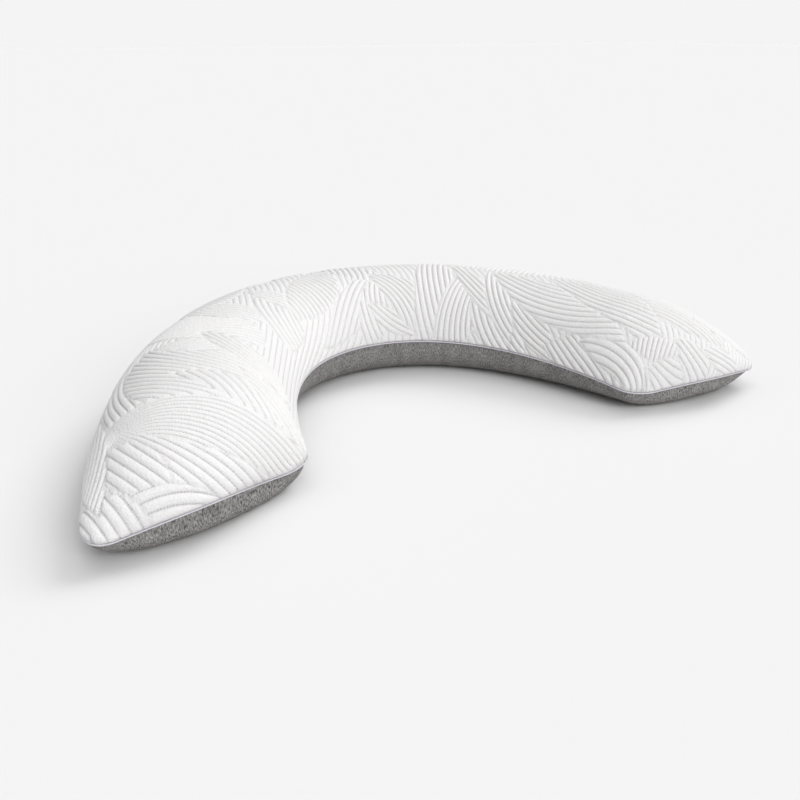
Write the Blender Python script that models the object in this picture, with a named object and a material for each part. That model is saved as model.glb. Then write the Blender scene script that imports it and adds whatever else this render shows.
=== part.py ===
"""Crescent body pillow: a filled body in a knit cover, a quilted top panel and the piping between them.

Metres, +Z up. The pillow lies on its back on the plane z = 0. The middle of the crescent bulges to +Y
and its two arms open to -Y. The origin is under the middle of the plan's bounding box.

Positions on the pillow are given by two numbers: along, from -1 at the left arm's end to 1 at the right
arm's end, and across, from -1 on the inner side of the bend to 1 on the outer side.
"""
import bpy
import numpy as np
from mathutils import Vector
from mathutils.geometry import delaunay_2d_cdt

# ---- Driving dimensions, in metres and degrees ----
HALF_LENGTH = 0.806            # half of the centreline
SWEEP = 74.0                   # each arm's turn from the middle to its end
BEND_TO_ENDS = (0.594, 0.109)  # how the turning is shared along an arm
BEND_BIAS = (-0.039, -0.026)   # the small difference between the two arms
MID_WIDTH = 0.2952
END_WIDTH = {-1: 0.334, 1: 0.314}
END_SKEW = {-1: 27.6, 1: 21.1}         # the outer side is cut longer than the inner side
CORNER_RADIUS = 0.045
END_BOW = {-1: 0.036, 1: 0.027}        # the end seams bulge outwards at their middle

MID_SEAM_HEIGHT = 0.075
END_SEAM_HEIGHT = {-1: 0.043, 1: 0.040}
END_SEAM_LIFT = {-1: 0.019, 1: 0.013}  # the middle of an end seam stands over its corners
CROWN = 0.111                          # height of the filling over the seam
CROWN_SHAPE = (2.2, 0.62)              # fullness across: flat on top, steep by the seam
END_SLOPE = (0.167, 0.60)              # the crown falls to the end seam over this length
HULL_SIDE_INSET = (0.070, 0.085)       # the underside curves in to its flat over this: middle, ends
HULL_END_INSET = {-1: 0.040, 1: 0.051}

PIPING_RADIUS = 0.0020
CLOTH_GAP = 0.0004             # between two pieces that are sewn together
PANEL_EDGE = 0.0030            # thickness of the quilted panel in its stitched grooves
RIB_HEIGHT = 0.0026            # how far a channel stands over its grooves
RIB_ROWS = (0.0, 0.5)          # lines modelled in one channel: its groove and its crest
ROW_STEP = 0.046               # spacing of the points along a line, on top of the crown
STEEP_STEP = 0.022             # and where it turns down steeply
STEEPNESS = (0.94, 0.60)       # upward share of the outward direction: still gentle, fully steep

END_STATIONS = 5               # along a rounded corner
MID_STATIONS = 42              # along the rest of the pillow
ACROSS_STATIONS = (0.0, 0.055, 0.14, 0.26, 0.42, 0.60, 0.80, 1.0)   # seam to centreline, by cloth length
RIM_FINER = 0.8                # the step round a leaf's rim is this much of the local step
LINE_STEP = 0.002              # lines are worked out this finely before they are thinned
RIM_MARGIN = 0.0035            # a leaf's channels end this far inside its rim
SEAM_MARGIN = 0.007
FAN_START = 0.0065             # width of a fan's channels where they start
GROUND_REACH = 0.75            # the ground leaf covers the whole panel
PIPING_SIDES = 5

# Quilted leaves on the flat cut panel; a later leaf is stitched over the earlier ones. Its two tips, how far
# its left and right rims bulge out (a negative rim is hollow), and how its channels lie: as arcs about a
# centre, so many metres apart, or as a fan from a centre, so many degrees apart and bending by so many
# degrees in a metre.
# tip x, tip y, tip x, tip y, left bulge, right bulge, (lie, centre x, centre y, spacing, a fan's bend)
LEAVES = (
    (-1.00, -0.30, 1.00, -0.30, 1.000, 1.000, ("arcs", -1.60, 0.35, 0.0120)),
    # the outer side
    (-0.56, -0.22, -0.36, 0.06, 0.050, 0.050, ("arcs", -0.90, 0.30, 0.0120)),
    (-0.33, 0.10, -0.14, 0.02, 0.050, 0.040, ("arcs", -0.30, -0.30, 0.0120)),
    (-0.17, 0.16, -0.06, 0.03, 0.050, 0.050, ("arcs", 0.30, 0.20, 0.0120)),
    (0.00, 0.20, 0.07, 0.05, 0.050, 0.050, ("arcs", -0.30, 0.30, 0.0120)),
    (0.10, 0.18, 0.22, 0.04, 0.050, 0.050, ("arcs", 0.50, 0.40, 0.0120)),
    (0.27, 0.12, 0.33, -0.04, 0.050, 0.045, ("arcs", 0.05, -0.20, 0.0120)),
    (0.38, 0.03, 0.43, -0.17, 0.050, 0.050, ("arcs", 0.80, 0.10, 0.0120)),
    (0.47, -0.10, 0.49, -0.33, 0.050, 0.050, ("arcs", 0.10, -0.10, 0.0120)),
    (0.54, -0.25, 0.55, -0.48, 0.050, 0.050, ("arcs", 0.90, -0.20, 0.0120)),
    # the left arm
    (-0.66, -0.52, -0.30, -0.04, 0.070, 0.050, ("arcs", -0.15, -0.38, 0.0120)),
    (-0.46, -0.12, -0.27, -0.27, 0.085, 0.055, ("arcs", -0.42, -0.75, 0.0115)),
    (-0.475, -0.215, -0.37, -0.52, 0.080, 0.120, ("arcs", -0.24, -0.20, 0.0115)),
    (-0.46, -0.225, -0.345, -0.31, 0.025, 0.030, ("arcs", -0.34, -0.10, 0.0105)),
    (-0.375, -0.22, -0.27, -0.43, 0.035, 0.035, ("arcs", 0.13, -0.09, 0.0105)),
    (-0.64, -0.40, -0.26, -0.53, 0.012, 0.200, ("fan", -0.60, -0.40, 4.0, 44.0)),
    (-0.36, -0.37, -0.28, -0.53, 0.030, 0.030, ("arcs", -0.90, -0.75, 0.0120)),
    (-0.47, -0.37, -0.34, -0.51, 0.045, 0.020, ("arcs", -0.96, -0.57, 0.0140)),
    (-0.59, -0.42, -0.28, -0.54, 0.018, 0.085, ("fan", -0.73, -0.41, 1.9, -44.0)),
    (-0.635, -0.470, -0.55, -0.605, 0.040, 0.035, ("arcs", -0.05, -0.32, 0.0150)),
    (-0.645, -0.585, -0.47, -0.645, 0.022, 0.040, ("arcs", -0.63, -0.98, 0.0165)),
    (-0.70, -0.54, -0.59, -0.66, 0.040, 0.030, ("arcs", -1.30, -0.80, 0.0160)),
    (-0.60, -0.34, -0.655, -0.58, 0.020, 0.050, ("arcs", -0.95, -0.30, 0.0115)),
    # the middle
    (-0.36, -0.09, -0.24, -0.19, 0.050, 0.030, ("arcs", -0.05, 0.12, 0.0105)),
    (-0.38, -0.10, -0.20, 0.02, 0.040, 0.040, ("arcs", 0.10, 0.12, 0.0120)),
    (-0.21, -0.07, -0.20, -0.25, 0.055, 0.040, ("arcs", -0.05, -0.15, 0.0125)),
    (-0.22, -0.04, -0.14, -0.15, 0.030, 0.025, ("arcs", 0.00, 0.12, 0.0105)),
    (-0.165, -0.16, -0.015, 0.03, 0.050, 0.050, ("arcs", -0.75, -0.27, 0.0115)),
    (0.10, 0.00, -0.10, -0.21, 0.030, 0.040, ("arcs", 0.22, -0.28, 0.0115)),
    (-0.02, 0.05, 0.075, -0.06, 0.030, 0.040, ("arcs", -0.45, 0.12, 0.0125)),
    (-0.015, -0.205, 0.055, -0.055, 0.030, 0.040, ("arcs", 0.16, -0.15, 0.0105)),
    (0.01, -0.115, 0.07, -0.21, 0.020, 0.020, ("arcs", 0.26, -0.02, 0.0100)),
    (0.05, -0.035, 0.075, -0.21, 0.065, 0.010, ("arcs", -0.12, -0.15, 0.0100)),
    (0.23, 0.03, 0.06, -0.235, 0.065, 0.015, ("arcs", 0.68, -0.37, 0.0115)),
    # the right arm
    (0.24, 0.02, 0.43, -0.25, 0.060, 0.050, ("arcs", 0.05, 0.20, 0.0115)),
    (0.22, -0.13, 0.08, -0.26, 0.060, 0.020, ("arcs", 0.36, -0.42, 0.0100)),
    (0.21, -0.20, 0.19, -0.37, 0.040, 0.040, ("arcs", 0.50, -0.40, 0.0115)),
    (0.235, -0.075, 0.205, -0.28, 0.030, 0.015, ("arcs", 0.75, -0.20, 0.0100)),
    (0.29, -0.14, 0.19, -0.33, 0.035, 0.020, ("arcs", 0.55, -0.38, 0.0105)),
    (0.275, -0.25, 0.225, -0.42, 0.030, 0.030, ("arcs", 0.62, -0.36, 0.0105)),
    (0.44, -0.30, 0.56, -0.58, 0.050, 0.075, ("arcs", 0.10, -0.75, 0.0115)),
    (0.235, -0.38, 0.37, -0.61, 0.050, 0.060, ("fan", 0.335, -0.12, 2.1, 0.0)),
    (0.29, -0.43, 0.345, -0.60, 0.045, 0.030, ("arcs", 0.08, -0.58, 0.0160)),
    (0.29, -0.15, 0.355, -0.50, 0.045, 0.055, ("arcs", 0.62, -0.18, 0.0125)),
    (0.37, -0.24, 0.40, -0.56, 0.070, 0.028, ("arcs", 0.72, -0.30, 0.0120)),
    (0.355, -0.50, 0.46, -0.57, 0.015, 0.030, ("arcs", 0.53, -0.68, 0.0100)),
    (0.37, -0.56, 0.47, -0.64, 0.030, 0.030, ("arcs", 0.55, -0.45, 0.0095)),
    (0.45, -0.54, 0.49, -0.65, 0.030, 0.025, ("arcs", 0.70, -0.48, 0.0105)),
    (0.50, -0.58, 0.60, -0.65, 0.030, 0.025, ("arcs", 0.62, -0.45, 0.0110)),
    (0.52, -0.50, 0.68, -0.58, 0.030, 0.030, ("arcs", 0.30, -0.70, 0.0115)),
)

COLOURS = {
    "filled_knit_body": (0.23, 0.22, 0.22, 1.0),
    "quilted_top_panel": (0.88, 0.87, 0.86, 1.0),
    "seam_piping": (0.62, 0.60, 0.65, 1.0),
}


# ---- Plan: the bent centreline and the outline about it ----
def by_end(values, along):
    """The value that holds at each point's own end of the pillow."""
    return np.where(along < 0, values[-1], values[1])


def heading(along):
    """Direction of the centreline, in radians clockwise from +X."""
    early, late = BEND_TO_ENDS
    turn = along + early * along * (1 - along**2) + late * along * (1 - along**2) * (1 - 3 * along**2)
    bias = BEND_BIAS[0] * (along**2 - 1 / 3) + BEND_BIAS[1] * (along**4 - 1 / 5)
    return np.radians(SWEEP) * turn + np.radians(60) * bias


def running_sum(steps, start):
    """Sum of the steps up to each station, zero at station number start."""
    total = np.concatenate(([0.0], np.cumsum(steps)))
    return total - total[start]


class Line:
    """A smooth line in the plane, read by its length from the middle and straight past its ends."""

    def __init__(self, length, angle):
        mean = (angle[1:] + angle[:-1]) / 2
        middle = len(length) // 2
        self.length = length
        self.angle = angle
        self.x = running_sum(np.cos(mean) * np.diff(length), middle)
        self.y = running_sum(-np.sin(mean) * np.diff(length), middle)

    def at(self, length):
        inside = np.clip(length, self.length[0], self.length[-1])
        angle = np.interp(inside, self.length, self.angle)
        past = length - inside
        x = np.interp(inside, self.length, self.x) + past * np.cos(angle)
        y = np.interp(inside, self.length, self.y) - past * np.sin(angle)
        return np.stack((x, y), -1), np.stack((np.sin(angle), np.cos(angle)), -1)


FINE = np.linspace(-1, 1, 1601)
CENTRELINE = Line(FINE * HALF_LENGTH, heading(FINE))


def from_end(along):
    return HALF_LENGTH * (1 - np.abs(along))


def half_width(along):
    """Half of the seam's width, with the corner's rounding taken off near an end."""
    ends = by_end(END_WIDTH, along)
    full = (MID_WIDTH + (ends - MID_WIDTH) * np.abs(along)**2.5) / 2
    short = np.clip(CORNER_RADIUS - from_end(along), 0, CORNER_RADIUS)
    return full - CORNER_RADIUS + np.sqrt(CORNER_RADIUS**2 - short**2)


def end_bulge(across):
    """Share of an end's bow and lift: all of it in the middle of the end, none at its corners."""
    return (1 - across**2)**2


def end_shift(along, across):
    """How far the slant and the bow of an end move a point along the pillow."""
    slant = np.tan(np.radians(by_end(END_SKEW, along))) * across * half_width(along) * along**4
    bow = by_end(END_BOW, along) * end_bulge(across) * along**8
    return np.sign(along) * (slant + bow)


def plan(along, across):
    """Plan position of a point of the pillow."""
    middle, outward = CENTRELINE.at(along * HALF_LENGTH + end_shift(along, across))
    return middle + outward * (across * half_width(along))[..., None]


# ---- Section: seam, crown and underside ----
def rise(fraction):
    """A quarter round: 0 at the edge with a steep start, 1 where it levels out."""
    return np.sqrt(1 - (1 - np.clip(fraction, 0, 1))**2)


def seam_height(along, across):
    ends = by_end(END_SEAM_HEIGHT, along)
    lift = by_end(END_SEAM_LIFT, along) * end_bulge(across) * along**10
    return MID_SEAM_HEIGHT + (ends - MID_SEAM_HEIGHT) * np.abs(along)**3 + lift


def end_fullness(along):
    length, power = END_SLOPE
    return rise(from_end(along) / length)**(2 * power)


def crown_section(across):
    flatness, power = CROWN_SHAPE
    return (1 - np.abs(across)**flatness)**power


def crown_height(along, across):
    """Height of the filling's top; its edge starts a piping radius over the seam."""
    crown = CROWN * end_fullness(along) * crown_section(across)
    return seam_height(along, across) + PIPING_RADIUS + crown


def underside_height(along, across):
    middle, ends = HULL_SIDE_INSET
    side = rise((1 - np.abs(across)) * half_width(along) / (middle + (ends - middle) * along**4))
    end = rise(from_end(along) / by_end(HULL_END_INSET, along))
    return seam_height(along, across) * (1 - side * end)


def surface(along, across, height):
    return np.concatenate((plan(along, across), height(along, across)[..., None]), -1)


def crown_normal(along, across):
    """Outward normal of the crown, from small steps that stay inside the outline."""
    step = 0.0005
    along = np.clip(along, -1 + 2 * step, 1 - 2 * step)
    across = np.clip(across, -1 + 2 * step, 1 - 2 * step)
    by_along = surface(along + step, across, crown_height) - surface(along - step, across, crown_height)
    by_across = surface(along, across + step, crown_height) - surface(along, across - step, crown_height)
    normal = np.cross(by_along, by_across)
    return normal / np.linalg.norm(normal, axis=-1, keepdims=True)


# ---- The panel as flat cloth: how far the cloth reaches over the crown ----
SECTION = np.linspace(0, 1, 2001)**0.5
SECTION_CLOTH = running_sum(np.hypot(np.diff(SECTION) * MID_WIDTH / 2,
                                     np.diff(crown_section(SECTION)) * CROWN), 0)
CLOTH_OVER_WIDTH = SECTION_CLOTH[-1] / (MID_WIDTH / 2)
CLOTH_LENGTH = running_sum(np.hypot(np.diff(FINE) * HALF_LENGTH,
                                    np.diff(crown_height(FINE, 0 * FINE))), len(FINE) // 2)
CLOTH_LINE = Line(CLOTH_LENGTH, heading(FINE))


def cloth_half_width(along):
    return half_width(along) * (1 + (CLOTH_OVER_WIDTH - 1) * end_fullness(along))


def across_of_cloth(along, share):
    """The across number for a share of the cloth from the centreline to the seam."""
    domed = np.interp(np.abs(share), SECTION_CLOTH / SECTION_CLOTH[-1], SECTION)
    full = end_fullness(along)
    return np.sign(share) * (domed * full + np.abs(share) * (1 - full))


def cloth_point(along, share):
    """Flat position of a point of the panel."""
    length = np.interp(along, FINE, CLOTH_LENGTH) + end_shift(along, across_of_cloth(along, share))
    middle, outward = CLOTH_LINE.at(length)
    return middle + outward * (share * cloth_half_width(along))[..., None]


def on_pillow(points):
    """The along number and the cloth share of flat positions."""
    reach = np.linspace(CLOTH_LENGTH[0] - 0.15, CLOTH_LENGTH[-1] + 0.15, 700)
    line, _ = CLOTH_LINE.at(reach)
    length = np.empty(len(points))
    for first in range(0, len(points), 4000):
        part = slice(first, first + 4000)
        away = points[part, None] - line[None]
        length[part] = reach[np.argmin((away**2).sum(-1), axis=1)]
    for _ in range(4):
        middle, outward = CLOTH_LINE.at(length)
        forward = np.stack((outward[:, 1], -outward[:, 0]), -1)
        length = length + ((points - middle) * forward).sum(-1) * 0.7
    middle, outward = CLOTH_LINE.at(length)
    aside = ((points - middle) * outward).sum(-1)
    along = np.interp(length, CLOTH_LENGTH, FINE)
    for _ in range(30):
        share = np.clip(aside / cloth_half_width(along), -1, 1)
        shift = end_shift(along, across_of_cloth(along, share))
        along = 0.5 * along + 0.5 * np.interp(length - shift, CLOTH_LENGTH, FINE)
    return along, aside / cloth_half_width(along)


# ---- Stations shared by the body, the panel and the piping ----
def along_stations():
    corner = CORNER_RADIUS * (1 - np.cos(np.linspace(0, np.pi / 2, END_STATIONS + 1)))
    tip = 1 - corner / HALF_LENGTH
    middle = np.linspace(-tip[-1], tip[-1], MID_STATIONS + 1)
    return np.concatenate((-tip[:-1], middle, tip[:-1][::-1]))


def share_stations():
    side = 1 - np.array(ACROSS_STATIONS)
    return np.concatenate((-side[:-1], side[::-1]))


ALONG, SHARE = np.meshgrid(along_stations(), share_stations(), indexing="ij")
ACROSS = across_of_cloth(ALONG, SHARE)


def around(grid):
    """The border of a grid as one loop, anticlockwise from above."""
    return np.concatenate((grid[:, 0], grid[-1, 1:], grid[-2::-1, -1], grid[0, -2:0:-1]))


def border_index():
    return around(np.arange(ALONG.size).reshape(ALONG.shape))


def outward_of(loop):
    """Horizontal offset of each point of an anticlockwise loop that moves all its sides out by one."""
    run = np.roll(loop, -1, axis=0) - loop
    side = np.stack((run[:, 1], -run[:, 0]), -1)
    side /= np.linalg.norm(side, axis=1, keepdims=True)
    both = side + np.roll(side, 1, axis=0)
    both *= 2 / (both**2).sum(1, keepdims=True)
    return np.column_stack((both, np.zeros(len(loop))))


EDGE = around(surface(ALONG, ACROSS, seam_height))      # the body's edge, in the seam
OUTWARD = outward_of(EDGE)
UP = np.array((0.0, 0.0, 1.0))
PIPING_OUT = PIPING_RADIUS + CLOTH_GAP
PLAN_BOX = EDGE + OUTWARD * (PIPING_OUT + PIPING_RADIUS)
ORIGIN = np.append((PLAN_BOX.min(0) + PLAN_BOX.max(0))[:2] / 2, 0.0)


# ---- Mesh building ----
def point_normals(points, faces):
    """Outward direction at each point, the mean of its faces'."""
    corners = points[np.array(faces)]
    flat = np.cross(corners[:, 1] - corners[:, 0], corners[:, 2] - corners[:, 0])
    total = np.zeros_like(points)
    for corner in range(3):
        np.add.at(total, np.array(faces)[:, corner], flat)
    return total / np.linalg.norm(total, axis=1, keepdims=True)


def grid_faces(first=0, flip=False):
    rows, columns = ALONG.shape
    faces = []
    for row in range(rows - 1):
        for column in range(columns - 1):
            a = first + row * columns + column
            for face in ((a, a + columns, a + columns + 1), (a, a + columns + 1, a + 1)):
                faces.append(face[::-1] if flip else face)
    return faces


def strip_faces(lower, upper):
    """Faces between two loops of the same length, facing out."""
    nexts = np.roll(lower, -1), np.roll(upper, -1)
    return [(int(a), int(b), int(c), int(d)) for a, b, c, d in zip(lower, nexts[0], nexts[1], upper)]


def add_piece(name, points, faces, roughness):
    mesh = bpy.data.meshes.new(name)
    mesh.from_pydata([tuple(p) for p in points - ORIGIN], [], faces)
    mesh.validate()
    mesh.shade_smooth()
    material = bpy.data.materials.new(name)
    material.use_nodes = True
    shader = material.node_tree.nodes["Principled BSDF"]
    shader.inputs["Base Color"].default_value = COLOURS[name]
    shader.inputs["Roughness"].default_value = roughness
    shader.inputs["Metallic"].default_value = 0.0
    mesh.materials.append(material)
    piece = bpy.data.objects.new(name, mesh)
    bpy.context.collection.objects.link(piece)
    return piece


def filled_body():
    """The filling in its knit cover: crowned on top, curved in underneath to a flat."""
    top = surface(ALONG, ACROSS, crown_height).reshape(-1, 3)
    under = surface(ALONG, ACROSS, underside_height).reshape(-1, 3)
    border = border_index()
    faces = grid_faces() + grid_faces(len(top), flip=True) + strip_faces(border + len(top), border)
    return add_piece("filled_knit_body", np.concatenate((top, under)), faces, 0.95)


# ---- Quilting: curved channels, leaf over leaf ----
def arc(centre, radius, first, last):
    count = max(3, int(abs(last - first) * radius / LINE_STEP) + 1)
    turn = np.linspace(first, last, count)
    return centre + radius * np.stack((np.cos(turn), np.sin(turn)), -1)


class Leaf:
    """One quilted leaf of the flat panel: two arcs from tip to tip, filled with channels."""

    def __init__(self, row):
        self.tips = np.array((row[0:2], row[2:4]))
        self.lie, *place = row[6]
        self.centre, self.spacing = np.array(place[:2]), place[2]
        self.bend = np.radians(place[3]) if self.lie == "fan" else 0.0
        self.middle = self.tips.mean(0)
        chord = self.tips[1] - self.tips[0]
        half = np.hypot(*chord) / 2
        left = np.array((-chord[1], chord[0])) / (2 * half)
        self.sides = [self.side(bulge, way, half) for bulge, way in ((row[4], left), (row[5], -left))]
        self.reach = max(half, row[4], row[5])
        self.aim = self.middle - self.centre
        self.away = np.hypot(*self.aim)

    def side(self, bulge, way, half):
        """Centre, radius and sense of the circle that a rim lies on."""
        radius = (half**2 + bulge**2) / (2 * abs(bulge))
        return self.middle + way * (bulge - np.sign(bulge) * radius), radius, np.sign(bulge)

    def depth(self, points):
        """How far flat points lie inside the leaf, negative outside it."""
        depths = [sense * (radius - np.hypot(*(points - centre).T)) for centre, radius, sense in self.sides]
        return np.minimum(*depths)

    def rims(self):
        for centre, radius, _ in self.sides:
            first, last = [np.arctan2(*(tip - centre)[::-1]) for tip in self.tips]
            turn = (last - first + np.pi) % (2 * np.pi) - np.pi
            yield arc(centre, radius, first, first + turn)

    def numbers(self):
        """Numbers of the grooves that can cross the leaf."""
        if self.lie == "arcs":
            nearest = (self.away - self.reach) / self.spacing
            farthest = (self.away + self.reach) / self.spacing
            return range(max(1, int(nearest)), int(farthest) + 2)
        half = int(90 / self.spacing)
        return range(-half, half)

    def line(self, number):
        """The line that lies so many channels from the centre, or from the fan's axis."""
        if self.lie == "arcs":
            radius = number * self.spacing
            half = np.pi if self.away < self.reach else min(np.pi, 1.6 * self.reach / min(radius, self.away))
            axis = np.arctan2(self.aim[1], self.aim[0])
            return arc(self.centre, radius, axis - half, axis + half)
        length = np.arange(FAN_START / np.radians(self.spacing), self.away + self.reach, LINE_STEP)
        turn = np.arctan2(self.aim[1], self.aim[0]) + np.radians(number * self.spacing) + self.bend * length
        return self.centre + length[:, None] * np.stack((np.cos(turn), np.sin(turn)), -1)


QUILT = [Leaf(row) for row in LEAVES]
QUILT[0].reach = GROUND_REACH


def visible_depth(points, number):
    """How far flat points lie inside a leaf's visible cloth, negative outside it."""
    depth = QUILT[number].depth(points)
    for leaf in QUILT[number + 1:]:
        depth = np.minimum(depth, -leaf.depth(points))
    return depth


def seam_margin(points):
    """How far flat points lie inside the panel's cut edge, negative outside it."""
    nearest = np.full(len(points), np.inf)
    inside = np.zeros(len(points), bool)
    for start, stop in zip(PANEL_FLAT, np.roll(PANEL_FLAT, -1, axis=0)):
        side = stop - start
        share = np.clip((points - start) @ side / (side @ side), 0, 1)
        away = points - start - share[:, None] * side
        nearest = np.minimum(nearest, np.hypot(away[:, 0], away[:, 1]))
        level = (start[1] > points[:, 1]) != (stop[1] > points[:, 1])
        crossing = start[0] + (points[:, 1] - start[1]) * side[0] / (side[1] or 1e-9)
        inside ^= level & (points[:, 0] < crossing)
    return np.where(inside, nearest, -nearest)


def local_step(points):
    """Spacing of a line's points: closer where the cloth turns down the steep sides and ends."""
    gentle, steep = STEEPNESS
    along, share = on_pillow(points)
    upward = crown_normal(along, across_of_cloth(along, np.clip(share, -1, 1)))[:, 2]
    return ROW_STEP + (STEEP_STEP - ROW_STEP) * np.clip((gentle - upward) / (gentle - steep), 0, 1)


def visible_runs(points, keep, finer=1.0):
    """The kept stretches of a line, each with few points, spaced by the local step."""
    runs = []
    cuts = np.flatnonzero(np.diff(keep.astype(int))) + 1
    for part in np.split(np.arange(len(points)), cuts):
        if not keep[part[0]] or len(part) < 4:
            continue
        gaps = np.linalg.norm(np.diff(points[part], axis=0), axis=1)
        steps = running_sum(gaps / local_step(points[part][1:]) / finer, 0)
        count = max(1, round(steps[-1]))
        places = np.linspace(0, steps[-1], count + 1)
        columns = [np.interp(places, steps, points[part, axis]) for axis in (0, 1)]
        runs.append(np.stack(columns, -1))
    return runs


def in_panel_box(points):
    low, high = PANEL_FLAT.min(0), PANEL_FLAT.max(0)
    return ((points > low) & (points < high)).all(1)


PANEL_FLAT = around(cloth_point(ALONG, SHARE))


def keep_where(points, number, margin):
    keep = in_panel_box(points)
    keep[keep] = visible_depth(points[keep], number) > margin
    keep[keep] = seam_margin(points[keep]) > SEAM_MARGIN
    return keep


def quilting_lines():
    """Every leaf's rim, stitched groove and channel crest, as flat lines with their height."""
    lines = []
    for number, leaf in enumerate(QUILT):
        if number:
            for rim in leaf.rims():
                runs = visible_runs(rim, keep_where(rim, number, -1e-6), RIM_FINER)
                lines += [(run, 0.0) for run in runs]
        for channel in leaf.numbers():
            for row in RIB_ROWS:
                line = leaf.line(channel + row)
                height = RIB_HEIGHT * np.sin(np.pi * row)
                lines += [(run, height) for run in visible_runs(line, keep_where(line, number, RIM_MARGIN))]
    return lines


def quilted_surface():
    """Flat points, their heights and the triangles of the panel's outer face, its border first."""
    points = [PANEL_FLAT]
    heights = [np.zeros(len(PANEL_FLAT))]
    edges = []
    count = len(PANEL_FLAT)
    for run, height in quilting_lines():
        points.append(run)
        heights.append(np.full(len(run), height))
        edges += [(count + i, count + i + 1) for i in range(len(run) - 1)]
        count += len(run)
    points = np.concatenate(points)
    heights = np.concatenate(heights)
    border = list(range(len(PANEL_FLAT)))
    result = delaunay_2d_cdt([Vector(p) for p in points], edges, [border], 1, 1e-6)
    flat = np.array([tuple(p) for p in result[0]])
    source = result[3]
    height = np.array([heights[origin[0]] if origin else 0.0 for origin in source])
    ring = np.empty(len(border), int)
    for index, origin in enumerate(source):
        for first in origin:
            if first < len(border):
                ring[first] = index
    return flat, height, [tuple(face) for face in result[2]], ring


def quilted_panel():
    """The quilted cloth over the crown, its channels standing proud, down to the piping all round."""
    crown = surface(ALONG, ACROSS, crown_height).reshape(-1, 3)
    inner = crown + point_normals(crown, grid_faces()) * CLOTH_GAP
    border = border_index()
    rim = EDGE + UP * (PIPING_RADIUS + CLOTH_GAP)
    inner[border] = rim + OUTWARD * CLOTH_GAP
    flat, height, faces, ring = quilted_surface()
    along, share = on_pillow(flat)
    across = across_of_cloth(along, np.clip(share, -1, 1))
    outer = surface(along, across, crown_height)
    outer += crown_normal(along, across) * (CLOTH_GAP + PANEL_EDGE + height)[:, None]
    outer[ring] = rim + OUTWARD * (CLOTH_GAP + PANEL_EDGE)
    outer_faces = [tuple(i + len(inner) for i in face) for face in faces]
    all_faces = grid_faces(flip=True) + outer_faces + strip_faces(border, ring + len(inner))
    return add_piece("quilted_top_panel", np.concatenate((inner, outer)), all_faces, 0.9)


def seam_piping():
    """A round cord all the way round, between the panel and the body."""
    rings = []
    for side in range(PIPING_SIDES):
        turn = 2 * np.pi * side / PIPING_SIDES
        out = PIPING_OUT + PIPING_RADIUS * np.cos(turn)
        rings.append(EDGE + OUTWARD * out + UP * PIPING_RADIUS * np.sin(turn))
    count = len(EDGE)
    faces = []
    for side in range(PIPING_SIDES):
        lower = np.arange(count) + side * count
        upper = np.arange(count) + (side + 1) % PIPING_SIDES * count
        faces += strip_faces(lower, upper)
    return add_piece("seam_piping", np.concatenate(rings), faces, 0.7)


for old in list(bpy.data.objects):
    bpy.data.objects.remove(old, do_unlink=True)
filled_body()
quilted_panel()
seam_piping()
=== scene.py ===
"""Looks of the crescent body pillow: the quilted white top, the heather grey knit underneath and the piping.

Metres, +Z up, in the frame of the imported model. The pillow lies on its back on the plane z = 0. The middle of
the crescent bulges to +Y and its two arms open to -Y.

Positions on the pillow are given by two numbers: along, from -1 at the left arm's end to 1 at the right arm's
end, and across, from -1 on the inner side of the bend to 1 on the outer side.
"""

import bpy
import numpy as np
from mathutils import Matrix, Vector
from mathutils.geometry import delaunay_2d_cdt


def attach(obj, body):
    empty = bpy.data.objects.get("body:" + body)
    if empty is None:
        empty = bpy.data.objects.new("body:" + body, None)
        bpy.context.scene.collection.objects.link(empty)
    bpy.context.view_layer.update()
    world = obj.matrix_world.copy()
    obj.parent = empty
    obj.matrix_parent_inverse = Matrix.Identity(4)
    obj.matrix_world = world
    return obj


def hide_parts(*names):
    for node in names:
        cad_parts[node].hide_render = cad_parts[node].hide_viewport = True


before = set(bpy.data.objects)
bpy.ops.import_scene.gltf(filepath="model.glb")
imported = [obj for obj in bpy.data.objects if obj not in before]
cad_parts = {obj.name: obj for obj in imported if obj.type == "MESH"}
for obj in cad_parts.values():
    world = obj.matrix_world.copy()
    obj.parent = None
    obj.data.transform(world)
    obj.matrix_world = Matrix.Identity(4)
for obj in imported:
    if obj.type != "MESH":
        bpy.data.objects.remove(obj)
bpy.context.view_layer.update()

# ---- Camera, first ----
CAMERA_AZIMUTH = -30.05        # degrees, 0 looks along +Y
CAMERA_ELEVATION = 22.83
CAMERA_DISTANCE = 1.616
CAMERA_TARGET = (-0.0602, -0.1510, 0.05)
CAMERA_LENS = 40.18            # on a 36 mm sensor

# ---- Driving dimensions of the solids, in metres and degrees ----
HALF_LENGTH = 0.806            # half of the centreline
SWEEP = 74.0                   # each arm's turn from the middle to its end
BEND_TO_ENDS = (0.594, 0.109)  # how the turning is shared along an arm
BIAS_TURN = 60.0
BEND_BIAS = (-0.039, -0.026)   # the small difference between the two arms, in shares of BIAS_TURN
MID_WIDTH = 0.2952
END_WIDTH = {-1: 0.334, 1: 0.314}
END_SKEW = {-1: 27.6, 1: 21.1}         # the outer side is cut longer than the inner side
CORNER_RADIUS = 0.045
END_BOW = {-1: 0.036, 1: 0.027}        # the end seams bulge outwards at their middle

MID_SEAM_HEIGHT = 0.075
END_SEAM_HEIGHT = {-1: 0.043, 1: 0.040}
END_SEAM_LIFT = {-1: 0.019, 1: 0.013}  # the middle of an end seam stands over its corners
CROWN = 0.111                          # height of the filling over the seam
CROWN_SHAPE = (2.2, 0.62)              # fullness across: flat on top, steep by the seam
END_SLOPE = (0.167, 0.60)              # the crown falls to the end seam over this length
HULL_SIDE_INSET = (0.070, 0.085)       # the underside curves in to its flat over this: middle, ends
HULL_END_INSET = {-1: 0.040, 1: 0.051}

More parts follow.
